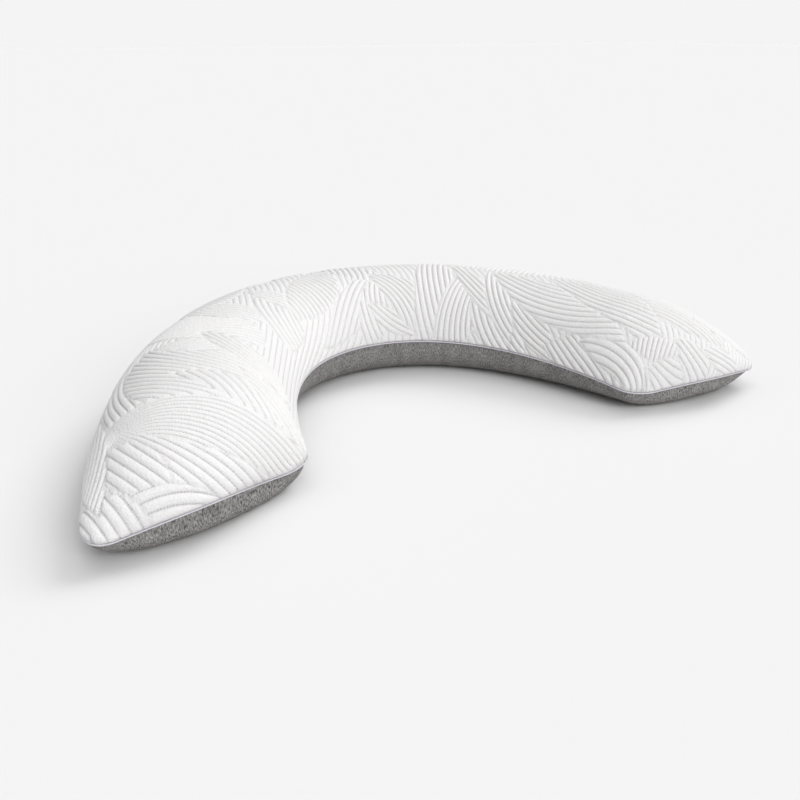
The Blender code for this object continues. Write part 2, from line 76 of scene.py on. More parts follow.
PIPING_RADIUS = 0.0020
CLOTH_GAP = 0.0004             # between two pieces that are sewn together
PANEL_EDGE = 0.0030            # thickness of the quilted panel in its stitched grooves

# ---- Fineness of the meshes that show ----
RIB_HEIGHT = 0.0032            # how far a channel stands over its grooves
RIB_WIDTH = 0.0120             # at this width; a wider channel is plumper
GROUND_SHARE = 0.5             # share of that height on the cloth between the leaves
GROUND_REACH = 0.75            # that cloth's grooves are drawn as far as this from its middle
ARC_SPARE = 1.6                # an arc is drawn over so many times its leaf's reach, to each side
RIB_ROWS = (0.0, 0.10, 0.27, 0.5, 0.73, 0.90)   # lines modelled in one channel, from groove to groove
RIB_PLUMPNESS = (2.4, 0.75)    # section of a channel: round on top, tight in its groove
ROW_STEP = 0.0045              # spacing of the points along a line
RIM_MARGIN = 0.0015            # a leaf's channels end this far inside its rim
RIM_FADE = 0.0050              # and sink to the rim over this
SEAM_MARGIN = 0.0020           # they end this far from the seam
SEAM_FADE = 0.0045             # and sink to it over this
FAN_START = 0.0065             # width of a fan's channels where they start
FAN_FULL = 0.0105              # and where they reach their height
END_STATIONS = 14              # along a rounded corner
MID_STATIONS = 250             # along the rest of the pillow
HULL_STATIONS = 560            # the same for the knit body
SIDE_STATIONS = 22             # from a seam to the centreline
PIPING_SIDES = 12
CORD_RADIUS = 0.0014           # the cord lies slack in its seam, between thin gaps

# ---- The hull as it hangs: drawn in under the seam, and creased at the inner bend ----
END_TUCK = 0.0045              # how far it is drawn in under the end seams
SIDE_TUCK = 0.0015             # and under the side seams
TUCK_REACH = (0.12, 0.62)      # shares of the hull's height: drawn in fully, out again
CORNER_BLEND = 0.03            # the end's tuck passes into the side's over this at a corner
CREASE_START = 0.1             # share of the hull's height by the seam where the creases fade out
# Creases: start x, y, z, end x, y, z, width, depth
CREASES = (
    (-0.095, 0.105, 0.003, -0.083, 0.078, 0.030, 0.0040, 0.0022),
    (-0.070, 0.112, 0.003, -0.056, 0.086, 0.028, 0.0045, 0.0026),
    (-0.045, 0.114, 0.003, -0.030, 0.092, 0.026, 0.0050, 0.0024),
    (-0.004, 0.120, 0.003, 0.010, 0.094, 0.026, 0.0055, 0.0022),
    (0.090, 0.104, 0.003, 0.099, 0.083, 0.018, 0.0040, 0.0018),
    (-0.427, -0.318, 0.006, -0.405, -0.318, 0.030, 0.0060, 0.0020),
    (-0.468, -0.330, 0.006, -0.440, -0.336, 0.032, 0.0070, 0.0018),
    (-0.372, -0.292, 0.006, -0.352, -0.296, 0.030, 0.0055, 0.0018),
    (0.528, -0.340, 0.005, 0.545, -0.352, 0.030, 0.0045, 0.0020),
    (0.548, -0.345, 0.010, 0.560, -0.355, 0.036, 0.0045, 0.0020),
)

# Quilted leaves on the flat cut panel; a later leaf is stitched over the earlier ones. Its two tips, how far
# its left and right rims bulge out (a negative rim is hollow), and how its channels lie: as arcs about a
# centre, so many metres apart, or as a fan from a centre, so many degrees apart and bending by so many
# degrees in a metre.
# tip x, tip y, tip x, tip y, left bulge, right bulge, (lie, centre x, centre y, spacing, a fan's bend)
LEAVES = (
    (-1.00, -0.30, 1.00, -0.30, 1.000, 1.000, ("arcs", -1.60, 0.35, 0.0120)),
    # the outer side
    (-0.56, -0.22, -0.36, 0.06, 0.050, 0.050, ("arcs", -0.90, 0.30, 0.0120)),
    (-0.33, 0.10, -0.14, 0.02, 0.050, 0.040, ("arcs", -0.30, -0.30, 0.0120)),
    (-0.17, 0.16, -0.06, 0.03, 0.050, 0.050, ("arcs", 0.30, 0.20, 0.0120)),
    (0.00, 0.20, 0.07, 0.05, 0.050, 0.050, ("arcs", -0.30, 0.30, 0.0120)),
    (0.10, 0.18, 0.22, 0.04, 0.050, 0.050, ("arcs", 0.50, 0.40, 0.0120)),
    (0.27, 0.12, 0.33, -0.04, 0.050, 0.045, ("arcs", 0.05, -0.20, 0.0120)),
    (0.38, 0.03, 0.43, -0.17, 0.050, 0.050, ("arcs", 0.80, 0.10, 0.0120)),
    (0.47, -0.10, 0.49, -0.33, 0.050, 0.050, ("arcs", 0.10, -0.10, 0.0120)),
    (0.54, -0.25, 0.55, -0.48, 0.050, 0.050, ("arcs", 0.90, -0.20, 0.0120)),
    # the left arm
    (-0.66, -0.52, -0.30, -0.04, 0.070, 0.050, ("arcs", -0.15, -0.38, 0.0120)),
    (-0.46, -0.12, -0.27, -0.27, 0.085, 0.055, ("arcs", -0.42, -0.75, 0.0115)),
    (-0.475, -0.215, -0.37, -0.52, 0.080, 0.120, ("arcs", -0.24, -0.20, 0.0115)),
    (-0.46, -0.225, -0.345, -0.31, 0.025, 0.030, ("arcs", -0.34, -0.10, 0.0105)),
    (-0.375, -0.22, -0.27, -0.43, 0.035, 0.035, ("arcs", 0.13, -0.09, 0.0105)),
    (-0.64, -0.40, -0.26, -0.53, 0.012, 0.200, ("fan", -0.60, -0.40, 4.0, 44.0)),
    (-0.36, -0.37, -0.28, -0.53, 0.030, 0.030, ("arcs", -0.90, -0.75, 0.0120)),
    (-0.47, -0.37, -0.34, -0.51, 0.045, 0.020, ("arcs", -0.96, -0.57, 0.0140)),
    (-0.59, -0.42, -0.28, -0.54, 0.018, 0.085, ("fan", -0.73, -0.41, 1.9, -44.0)),
    (-0.635, -0.470, -0.55, -0.605, 0.040, 0.035, ("arcs", -0.05, -0.32, 0.0150)),
    (-0.645, -0.585, -0.47, -0.645, 0.022, 0.040, ("arcs", -0.63, -0.98, 0.0165)),
    (-0.70, -0.54, -0.59, -0.66, 0.040, 0.030, ("arcs", -1.30, -0.80, 0.0160)),
    (-0.60, -0.34, -0.655, -0.58, 0.020, 0.050, ("arcs", -0.95, -0.30, 0.0115)),
    # the middle
    (-0.36, -0.09, -0.24, -0.19, 0.050, 0.030, ("arcs", -0.05, 0.12, 0.0105)),
    (-0.38, -0.10, -0.20, 0.02, 0.040, 0.040, ("arcs", 0.10, 0.12, 0.0120)),
    (-0.21, -0.07, -0.20, -0.25, 0.055, 0.040, ("arcs", -0.05, -0.15, 0.0125)),
    (-0.22, -0.04, -0.14, -0.15, 0.030, 0.025, ("arcs", 0.00, 0.12, 0.0105)),
    (-0.165, -0.16, -0.015, 0.03, 0.050, 0.050, ("arcs", -0.75, -0.27, 0.0115)),
    (0.07, -0.03, -0.10, -0.21, 0.030, 0.040, ("arcs", 0.22, -0.28, 0.0115)),
    (-0.02, 0.05, 0.075, -0.06, 0.030, 0.040, ("arcs", -0.45, 0.12, 0.0125)),
    (-0.015, -0.205, 0.055, -0.055, 0.030, 0.040, ("arcs", 0.16, -0.15, 0.0105)),
    (0.01, -0.115, 0.07, -0.21, 0.020, 0.020, ("arcs", 0.26, -0.02, 0.0100)),
    (0.05, -0.035, 0.075, -0.21, 0.065, 0.010, ("arcs", -0.12, -0.15, 0.0100)),
    (0.23, 0.03, 0.06, -0.235, 0.065, 0.015, ("arcs", 0.68, -0.37, 0.0115)),
    # the right arm
    (0.24, 0.02, 0.43, -0.25, 0.060, 0.050, ("arcs", 0.05, 0.20, 0.0115)),
    (0.22, -0.13, 0.08, -0.26, 0.060, 0.020, ("arcs", 0.36, -0.42, 0.0100)),
    (0.21, -0.20, 0.19, -0.37, 0.040, 0.040, ("arcs", 0.50, -0.40, 0.0115)),
    (0.235, -0.075, 0.205, -0.28, 0.030, 0.015, ("arcs", 0.75, -0.20, 0.0100)),
    (0.29, -0.14, 0.19, -0.33, 0.035, 0.020, ("arcs", 0.55, -0.38, 0.0105)),
    (0.275, -0.25, 0.225, -0.42, 0.030, 0.030, ("arcs", 0.62, -0.36, 0.0105)),
    (0.44, -0.30, 0.56, -0.58, 0.050, 0.075, ("arcs", 0.10, -0.75, 0.0115)),
    (0.235, -0.38, 0.37, -0.61, 0.050, 0.060, ("fan", 0.335, -0.12, 2.1, 0.0)),
    (0.29, -0.43, 0.345, -0.60, 0.045, 0.030, ("arcs", 0.08, -0.58, 0.0160)),
    (0.29, -0.15, 0.355, -0.50, 0.045, 0.055, ("arcs", 0.62, -0.18, 0.0125)),
    (0.37, -0.24, 0.40, -0.56, 0.070, 0.028, ("arcs", 0.72, -0.30, 0.0120)),
    (0.355, -0.50, 0.46, -0.57, 0.015, 0.030, ("arcs", 0.53, -0.68, 0.0100)),
    (0.37, -0.56, 0.47, -0.64, 0.030, 0.030, ("arcs", 0.55, -0.45, 0.0095)),
    (0.45, -0.54, 0.49, -0.65, 0.030, 0.025, ("arcs", 0.70, -0.48, 0.0105)),
    (0.50, -0.58, 0.60, -0.65, 0.030, 0.025, ("arcs", 0.62, -0.45, 0.0110)),
    (0.52, -0.50, 0.68, -0.58, 0.030, 0.030, ("arcs", 0.30, -0.70, 0.0115)),
)

# ---- Colours, and textures by their marks in a metre ----
PANEL_WHITE = (0.705, 0.697, 0.698)
# painted shade: a grey mixed into the white along the grooves
PAINTED_GROOVE_SHADE = (0.45, 0.44, 0.45)
PAINTED_GROOVE_SHARE = 0.34             # how far the painted shade darkens a groove
# painted shade: a darker grey mixed in at each sunk stitch hole
PAINTED_HOLE_SHADE = (0.30, 0.29, 0.30)
PAINTED_HOLE_SHARE = 0.18
HOLE_SINK = 0.0006
STITCH_LENGTH = 0.0042
GROOVE_EDGES = (0.14, 0.02)    # shares of a channel's width: where the painted groove shade starts, and is full
HOLE_EDGES = (0.22, 0.05)      # the same for a stitch hole, which is sunk and carries painted shade, in shares of a stitch
DIMPLES = 300.0
DIMPLE_SINK = 0.0009
UNEVENNESS = 60.0
UNEVEN_RISE = 0.0006

KNIT_DARK = (0.055, 0.051, 0.051)
KNIT_PALE = (0.38, 0.367, 0.362)
STREAKS = (500.0, 170.0, 1.0)  # across the wales, along them
BLOTCHES = (42.0, 24.0, 1.0)
FLECK = (1100.0, 700.0, 1.0)
YARN_SHARES = (0.66, 0.14, 0.2)        # of streaks, blotches and fleck in the heather
YARN_EDGES = (0.37, 0.63)      # the mixtures that are all dark and all pale
YARN_RISE = 0.0010

CORD_DARK = (0.50, 0.48, 0.53)
CORD_PALE = (0.64, 0.62, 0.67)
CORD_TWIST = 500.0
CORD_EDGES = (0.35, 0.65)
CORD_RISE = 0.0002


# ---- Plan: the bent centreline and the outline about it ----
def by_end(values, along):
    """The value that holds at each point's own end of the pillow."""
    return np.where(along < 0, values[-1], values[1])


def heading(along):
    """Direction of the centreline, in radians clockwise from +X."""
    early, late = BEND_TO_ENDS
    turn = along + early * along * (1 - along**2) + late * along * (1 - along**2) * (1 - 3 * along**2)
    bias = BEND_BIAS[0] * (along**2 - 1 / 3) + BEND_BIAS[1] * (along**4 - 1 / 5)
    return np.radians(SWEEP) * turn + np.radians(BIAS_TURN) * bias


def running_sum(steps, start):
    """Sum of the steps up to each station, zero at station number start."""
    total = np.concatenate(([0.0], np.cumsum(steps)))
    return total - total[start]


class Line:
    """A smooth line in the plane, read by its length from the middle and straight past its ends."""

    def __init__(self, length, angle):
        mean = (angle[1:] + angle[:-1]) / 2
        middle = len(length) // 2
        self.length = length
        self.angle = angle
        self.x = running_sum(np.cos(mean) * np.diff(length), middle)
        self.y = running_sum(-np.sin(mean) * np.diff(length), middle)

    def at(self, length):
        inside = np.clip(length, self.length[0], self.length[-1])
        angle = np.interp(inside, self.length, self.angle)
        past = length - inside
        x = np.interp(inside, self.length, self.x) + past * np.cos(angle)
        y = np.interp(inside, self.length, self.y) - past * np.sin(angle)
        return np.stack((x, y), -1), np.stack((np.sin(angle), np.cos(angle)), -1)


FINE = np.linspace(-1, 1, 1601)
CENTRELINE = Line(FINE * HALF_LENGTH, heading(FINE))


def from_end(along):
    return HALF_LENGTH * (1 - np.abs(along))


def half_width(along):
    """Half of the seam's width, with the corner's rounding taken off near an end."""
    ends = by_end(END_WIDTH, along)
    full = (MID_WIDTH + (ends - MID_WIDTH) * np.abs(along)**2.5) / 2
    short = np.clip(CORNER_RADIUS - from_end(along), 0, CORNER_RADIUS)
    return full - CORNER_RADIUS + np.sqrt(CORNER_RADIUS**2 - short**2)


def end_bulge(across):
    """Share of an end's bow and lift: all of it in the middle of the end, none at its corners."""
    return (1 - across**2)**2


def end_shift(along, across):
    """How far the slant and the bow of an end move a point along the pillow."""
    slant = np.tan(np.radians(by_end(END_SKEW, along))) * across * half_width(along) * along**4
    bow = by_end(END_BOW, along) * end_bulge(across) * along**8
    return np.sign(along) * (slant + bow)


def plan(along, across):
    """Plan position of a point of the pillow."""
    middle, outward = CENTRELINE.at(along * HALF_LENGTH + end_shift(along, across))
    return middle + outward * (across * half_width(along))[..., None]


# ---- Section: seam, crown and underside ----
def rise(fraction):
    """A quarter round: 0 at the edge with a steep start, 1 where it levels out."""
    return np.sqrt(1 - (1 - np.clip(fraction, 0, 1))**2)


def seam_height(along, across):
    ends = by_end(END_SEAM_HEIGHT, along)
    lift = by_end(END_SEAM_LIFT, along) * end_bulge(across) * along**10
    return MID_SEAM_HEIGHT + (ends - MID_SEAM_HEIGHT) * np.abs(along)**3 + lift


def end_fullness(along):
    length, power = END_SLOPE
    return rise(from_end(along) / length)**(2 * power)


def crown_section(across):
    flatness, power = CROWN_SHAPE
    return (1 - np.abs(across)**flatness)**power


def crown_height(along, across):
    """Height of the filling's top; its edge starts a piping radius over the seam."""
    crown = CROWN * end_fullness(along) * crown_section(across)
    return seam_height(along, across) + PIPING_RADIUS + crown


def underside_height(along, across):
    middle, ends = HULL_SIDE_INSET
    side = rise((1 - np.abs(across)) * half_width(along) / (middle + (ends - middle) * along**4))
    end = rise(from_end(along) / by_end(HULL_END_INSET, along))
    return seam_height(along, across) * (1 - side * end)


def surface(along, across, height):
    return np.concatenate((plan(along, across), height(along, across)[..., None]), -1)


def crown_normal(along, across):
    """Outward normal of the crown, from small steps that stay inside the outline."""
    step = 0.0005
    along = np.clip(along, -1 + 2 * step, 1 - 2 * step)
    across = np.clip(across, -1 + 2 * step, 1 - 2 * step)
    by_along = surface(along + step, across, crown_height) - surface(along - step, across, crown_height)
    by_across = surface(along, across + step, crown_height) - surface(along, across - step, crown_height)
    normal = np.cross(by_along, by_across)
    return normal / np.linalg.norm(normal, axis=-1, keepdims=True)


# ---- The panel as flat cloth: how far the cloth reaches over the crown ----
SECTION = np.linspace(0, 1, 2001)**0.5
SECTION_CLOTH = running_sum(np.hypot(np.diff(SECTION) * MID_WIDTH / 2,
                                     np.diff(crown_section(SECTION)) * CROWN), 0)
CLOTH_OVER_WIDTH = SECTION_CLOTH[-1] / (MID_WIDTH / 2)
CLOTH_LENGTH = running_sum(np.hypot(np.diff(FINE) * HALF_LENGTH,
                                    np.diff(crown_height(FINE, 0 * FINE))), len(FINE) // 2)
CLOTH_LINE = Line(CLOTH_LENGTH, heading(FINE))
END_SEARCH = 0.15              # how far past its ends the line is searched
SEARCH_BATCH = 4000            # points at a time


def cloth_half_width(along):
    return half_width(along) * (1 + (CLOTH_OVER_WIDTH - 1) * end_fullness(along))


def across_of_cloth(along, share):
    """The across number for a share of the cloth from the centreline to the seam."""
    domed = np.interp(np.abs(share), SECTION_CLOTH / SECTION_CLOTH[-1], SECTION)
    full = end_fullness(along)
    return np.sign(share) * (domed * full + np.abs(share) * (1 - full))


def cloth_point(along, share):
    """Flat position of a point of the panel."""
    length = np.interp(along, FINE, CLOTH_LENGTH) + end_shift(along, across_of_cloth(along, share))
    middle, outward = CLOTH_LINE.at(length)
    return middle + outward * (share * cloth_half_width(along))[..., None]


def on_pillow(points):
    """The along number and the cloth share of flat positions."""
    reach = np.linspace(CLOTH_LENGTH[0] - END_SEARCH, CLOTH_LENGTH[-1] + END_SEARCH, 700)
    line, _ = CLOTH_LINE.at(reach)
    length = np.empty(len(points))
    for first in range(0, len(points), SEARCH_BATCH):
        part = slice(first, first + SEARCH_BATCH)
        away = points[part, None] - line[None]
        length[part] = reach[np.argmin((away**2).sum(-1), axis=1)]
    for _ in range(4):
        middle, outward = CLOTH_LINE.at(length)
        forward = np.stack((outward[:, 1], -outward[:, 0]), -1)
        length = length + ((points - middle) * forward).sum(-1) * 0.7
    middle, outward = CLOTH_LINE.at(length)
    aside = ((points - middle) * outward).sum(-1)
    along = np.interp(length, CLOTH_LENGTH, FINE)
    for _ in range(30):
        share = np.clip(aside / cloth_half_width(along), -1, 1)
        shift = end_shift(along, across_of_cloth(along, share))
        along = 0.5 * along + 0.5 * np.interp(length - shift, CLOTH_LENGTH, FINE)
    return along, aside / cloth_half_width(along)


# ---- Stations shared by the body, the panel and the piping ----
def along_stations(count):
    corner = CORNER_RADIUS * (1 - np.cos(np.linspace(0, np.pi / 2, END_STATIONS + 1)))
    tip = 1 - corner / HALF_LENGTH
    middle = np.linspace(-tip[-1], tip[-1], count + 1)
    return np.concatenate((-tip[:-1], middle, tip[:-1][::-1]))


def share_stations():
    """From seam to seam by cloth length, closer by the seams."""
    side = np.sin(np.linspace(0, np.pi / 2, SIDE_STATIONS + 1))
    return np.concatenate((-side[:0:-1], side))


ALONG, SHARE = np.meshgrid(along_stations(MID_STATIONS), share_stations(), indexing="ij")
ACROSS = across_of_cloth(ALONG, SHARE)


def around(grid):
    """The border of a grid as one loop, anticlockwise from above."""
    return np.concatenate((grid[:, 0], grid[-1, 1:], grid[-2::-1, -1], grid[0, -2:0:-1]))


def border_index(shape):
    return around(np.arange(shape[0] * shape[1]).reshape(shape))


def outward_of(loop):
    """Horizontal offset of each point of an anticlockwise loop that moves all its sides out by one."""
    run = np.roll(loop, -1, axis=0) - loop
    side = np.stack((run[:, 1], -run[:, 0]), -1)
    side /= np.linalg.norm(side, axis=1, keepdims=True)
    both = side + np.roll(side, 1, axis=0)
    both *= 2 / (both**2).sum(1, keepdims=True)
    return np.column_stack((both, np.zeros(len(loop))))


EDGE = around(surface(ALONG, ACROSS, seam_height))      # the body's edge, in the seam
OUTWARD = outward_of(EDGE)
UP = np.array((0.0, 0.0, 1.0))
PIPING_OUT = PIPING_RADIUS + CLOTH_GAP
PLAN_BOX = EDGE + OUTWARD * (PIPING_OUT + PIPING_RADIUS)
ORIGIN = np.append((PLAN_BOX.min(0) + PLAN_BOX.max(0))[:2] / 2, 0.0)
PANEL_FLAT = around(cloth_point(ALONG, SHARE))


# ---- Mesh building ----
def point_normals(points, faces):
    """Outward direction at each point, the mean of its faces'."""
    corners = points[np.array(faces)]
    flat = np.cross(corners[:, 1] - corners[:, 0], corners[:, 2] - corners[:, 0])
    total = np.zeros_like(points)
    for corner in range(3):
        np.add.at(total, np.array(faces)[:, corner], flat)
    return total / np.linalg.norm(total, axis=1, keepdims=True)


def grid_faces(shape, first=0, flip=False):
    rows, columns = shape
    faces = []
    for row in range(rows - 1):
        for column in range(columns - 1):
            a = first + row * columns + column
            for face in ((a, a + columns, a + columns + 1), (a, a + columns + 1, a + 1)):
                faces.append(face[::-1] if flip else face)
    return faces


def strip_faces(lower, upper):
    """Faces between two loops of the same length, facing out."""
    nexts = np.roll(lower, -1), np.roll(upper, -1)
    return [(int(a), int(b), int(c), int(d)) for a, b, c, d in zip(lower, nexts[0], nexts[1], upper)]


def add_piece(name, points, faces, material, node):
    mesh = bpy.data.meshes.new(name)
    mesh.from_pydata((points - ORIGIN).tolist(), [], faces)
    mesh.shade_smooth()
    mesh.materials.append(material)
    piece = bpy.data.objects.new(name, mesh)
    bpy.context.collection.objects.link(piece)
    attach(piece, "root")
    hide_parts(node)
    return piece


def add_coordinates(mesh, name, corners):
    """A named pair of coordinates for every face corner."""
    layer = mesh.uv_layers.new(name=name)
    layer.data.foreach_set("uv", np.asarray(corners, dtype=np.float32).ravel())


# ---- Quilting: curved channels, leaf over leaf ----
def arc(centre, radius, first, last, step):
    count = max(3, int(abs(last - first) * radius / step) + 1)
    turn = np.linspace(first, last, count)
    return centre + radius * np.stack((np.cos(turn), np.sin(turn)), -1)


class Leaf:
    """One quilted leaf of the flat panel: two arcs from tip to tip, filled with channels."""

    def __init__(self, row):
        self.tips = np.array((row[0:2], row[2:4]))
        self.lie, *place = row[6]
        self.centre, self.spacing = np.array(place[:2]), place[2]
        self.bend = np.radians(place[3]) if self.lie == "fan" else 0.0
        self.middle = self.tips.mean(0)
        chord = self.tips[1] - self.tips[0]
        half = np.hypot(*chord) / 2
        left = np.array((-chord[1], chord[0])) / (2 * half)
        self.sides = [self.side(bulge, way, half) for bulge, way in ((row[4], left), (row[5], -left))]
        self.reach = max(half, row[4], row[5])
        self.aim = self.middle - self.centre
        self.away = np.hypot(*self.aim)

    def side(self, bulge, way, half):
        """Centre, radius and sense of the circle that a rim lies on."""
        radius = (half**2 + bulge**2) / (2 * abs(bulge))
        return self.middle + way * (bulge - np.sign(bulge) * radius), radius, np.sign(bulge)

    def depth(self, points):
        """How far flat points lie inside the leaf, negative outside it."""
        depths = [sense * (radius - np.hypot(*(points - centre).T)) for centre, radius, sense in self.sides]
        return np.minimum(*depths)

    def rims(self):
        for centre, radius, _ in self.sides:
            first, last = [np.arctan2(*(tip - centre)[::-1]) for tip in self.tips]
            turn = (last - first + np.pi) % (2 * np.pi) - np.pi
            yield arc(centre, radius, first, first + turn, ROW_STEP)

    def numbers(self):
        """Numbers of the grooves that can cross the leaf."""
        if self.lie == "arcs":
            nearest = (self.away - self.reach) / self.spacing
            farthest = (self.away + self.reach) / self.spacing
            return range(max(1, int(nearest)), int(farthest) + 2)
        half = int(90 / self.spacing)
        return range(-half, half)

    def half_turn(self, radius):
        """How far an arc is drawn to each side of the leaf's middle, in radians."""
        if self.away < self.reach:
            return np.pi
        return min(np.pi, ARC_SPARE * self.reach / min(radius, self.away))

    def line(self, number):
        """The line that lies so many channels from the centre, or from the fan's axis."""
        if self.lie == "arcs":
            radius = number * self.spacing
            half = self.half_turn(radius)
            axis = np.arctan2(self.aim[1], self.aim[0])
            return arc(self.centre, radius, axis - half, axis + half, ROW_STEP)
        length = np.arange(FAN_START / np.radians(self.spacing), self.away + self.reach, ROW_STEP)
        turn = np.arctan2(self.aim[1], self.aim[0]) + np.radians(number * self.spacing) + self.bend * length
        return self.centre + length[:, None] * np.stack((np.cos(turn), np.sin(turn)), -1)

    def coordinates(self, points):
        """Channels counted across, the length along the channel, and the channel's width."""
        offset = points - self.centre
        radius = np.hypot(*offset.T)
        turn = np.arctan2(self.aim[0] * offset[:, 1] - self.aim[1] * offset[:, 0], offset @ self.aim)
        if self.lie == "arcs":
            return radius / self.spacing, turn * radius, np.full(len(points), self.spacing)
        return np.degrees(turn - self.bend * radius) / self.spacing, radius, radius * np.radians(self.spacing)


QUILT = [Leaf(row) for row in LEAVES]
QUILT[0].reach = GROUND_REACH


def visible_depth(points, number):
    """How far flat points lie inside a leaf's visible cloth, negative outside it."""
    depth = QUILT[number].depth(points)
    for leaf in QUILT[number + 1:]:
        depth = np.minimum(depth, -leaf.depth(points))
    return depth


def top_leaf(points):
    """The number of the uppermost leaf at each flat point."""
    number = np.zeros(len(points), int)
    for index, leaf in enumerate(QUILT):
        number[leaf.depth(points) > 0] = index
    return number


def seam_margin(points):
    """How far flat points lie inside the panel's cut edge, negative outside it."""
    outline = PANEL_FLAT[::3]
    nearest = np.full(len(points), np.inf)
    inside = np.zeros(len(points), bool)
    for start, stop in zip(outline, np.roll(outline, -1, axis=0)):
        side = stop - start
        share = np.clip((points - start) @ side / (side @ side), 0, 1)
        away = points - start - share[:, None] * side
        nearest = np.minimum(nearest, np.hypot(away[:, 0], away[:, 1]))
        level = (start[1] > points[:, 1]) != (stop[1] > points[:, 1])
        crossing = start[0] + (points[:, 1] - start[1]) * side[0] / (side[1] or 1e-9)
        inside ^= level & (points[:, 0] < crossing)
    return np.where(inside, nearest, -nearest)


def quilting_lines():
    """Flat lines along the rims and along the grooves, flanks and crests of the channels."""
    lines = []
    for number, leaf in enumerate(QUILT):
        if number:
            lines += [(rim, number, -1e-6) for rim in leaf.rims()]
        for channel in leaf.numbers():
            lines += [(leaf.line(channel + row), number, RIM_MARGIN) for row in RIB_ROWS]
    return lines


def kept_lines():
    """The points of the lines that show, and the edges between neighbouring ones."""
    lines = quilting_lines()
    points = np.concatenate([line for line, _, _ in lines])
    keep = np.concatenate([visible_depth(line, number) > margin for line, number, margin in lines])
    low, high = PANEL_FLAT.min(0), PANEL_FLAT.max(0)
    keep &= ((points > low) & (points < high)).all(1)
    keep[keep] = seam_margin(points[keep]) > SEAM_MARGIN
    joined = keep[1:] & keep[:-1]
    joined[np.cumsum([len(line) for line, _, _ in lines])[:-1] - 1] = False
    index = np.cumsum(keep) - 1
    edges = np.stack((index[:-1][joined], index[1:][joined]), -1)
    return points[keep], edges


def quilted_surface():
    """Flat points and triangles of the panel's outer face, and where its border's points are."""
    points, edges = kept_lines()
    border = len(PANEL_FLAT)
    corners = [Vector(p) for p in np.concatenate((PANEL_FLAT, points)).tolist()]
    links = [tuple(edge) for edge in (edges + border).tolist()]
    result = delaunay_2d_cdt(corners, links, [list(range(border))], 1, 1e-6)
    flat = np.array([tuple(p) for p in result[0]])
    ring = np.empty(border, int)
    for index, origin in enumerate(result[3]):
        for first in origin:
            if first < border:
                ring[first] = index
    return flat, np.array([tuple(face) for face in result[2]]), ring


def rib_height(flat):
    """Height of the channels over their grooves: plump, and sunk along the rims and the seam."""
    number = top_leaf(flat)
    across = np.zeros(len(flat))
    width = np.zeros(len(flat))
    depth = np.zeros(len(flat))
    for index, leaf in enumerate(QUILT):
        own = number == index
        if own.any():
            across[own], _, width[own] = leaf.coordinates(flat[own])
            depth[own] = visible_depth(flat[own], index)
    roundness, fullness = RIB_PLUMPNESS
    plump = (1 - np.abs(2 * (across % 1) - 1)**roundness)**fullness
    fade = rise(depth / RIM_FADE) * rise(seam_margin(flat) / SEAM_FADE)
    fade *= rise((width - FAN_START) / (FAN_FULL - FAN_START))
    fade[number == 0] *= GROUND_SHARE
    return RIB_HEIGHT * np.sqrt(width / RIB_WIDTH) * plump * fade


def quilted_panel(material):
    """The quilted cloth over the crown, its channels standing proud, down to the piping all round."""
    crown = surface(ALONG, ACROSS, crown_height).reshape(-1, 3)
    inner = crown + point_normals(crown, grid_faces(ALONG.shape)) * CLOTH_GAP
    border = border_index(ALONG.shape)
    rim = EDGE + UP * (PIPING_RADIUS + CLOTH_GAP)
    inner[border] = rim + OUTWARD * CLOTH_GAP
    flat, faces, ring = quilted_surface()
    along, share = on_pillow(flat)
    across = across_of_cloth(along, np.clip(share, -1, 1))
    outer = surface(along, across, crown_height)
    outer += crown_normal(along, across) * (CLOTH_GAP + PANEL_EDGE + rib_height(flat))[:, None]
    outer[ring] = rim + OUTWARD * (CLOTH_GAP + PANEL_EDGE)
    first = len(inner)
    every = grid_faces(ALONG.shape, flip=True) + (faces + first).tolist() + strip_faces(border, ring + first)
    panel = add_piece("quilted_white_top", np.concatenate((inner, outer)), every, material,
                      "quilted_top_panel")
    spread = np.concatenate((cloth_point(ALONG, SHARE).reshape(-1, 2), flat))
    number = top_leaf(face_middles(spread, every))
    corner_point, corner_leaf = corners_of(panel.data, number)
    places = spread[corner_point]
    channels = np.zeros_like(places)
    for index, leaf in enumerate(QUILT):
        own = corner_leaf == index
        across_count, length, _ = leaf.coordinates(places[own])
        channels[own] = np.stack((across_count, length), -1)
    add_coordinates(panel.data, "channels", channels)
    add_coordinates(panel.data, "cloth", places)
    return panel


def face_middles(points, faces):
    return np.array([points[list(face)].mean(0) for face in faces])


def corners_of(mesh, face_value):
    """The point of each face corner, and the value of the face that it belongs to."""
    point = np.empty(len(mesh.loops), int)
    mesh.loops.foreach_get("vertex_index", point)
    size = np.empty(len(mesh.polygons), int)
    mesh.polygons.foreach_get("loop_total", size)
    return point, np.repeat(face_value, size)


# ---- The knit body and the piping ----
def crease_depth(points):
    """How far the creases sink the hull at each point; their lips stand out."""
    sunk = np.zeros(len(points))
    for row in CREASES:
        start, stop = np.array(row[0:3]), np.array(row[3:6])
        width, depth = row[6:8]
        run = stop - start
        share = np.clip((points - start) @ run / (run @ run), 0, 1)
        away = np.linalg.norm(points - start - share[:, None] * run, axis=1) / width
        sunk += depth * (1 - away**2) * np.exp(-away**2 / 2)
    return sunk


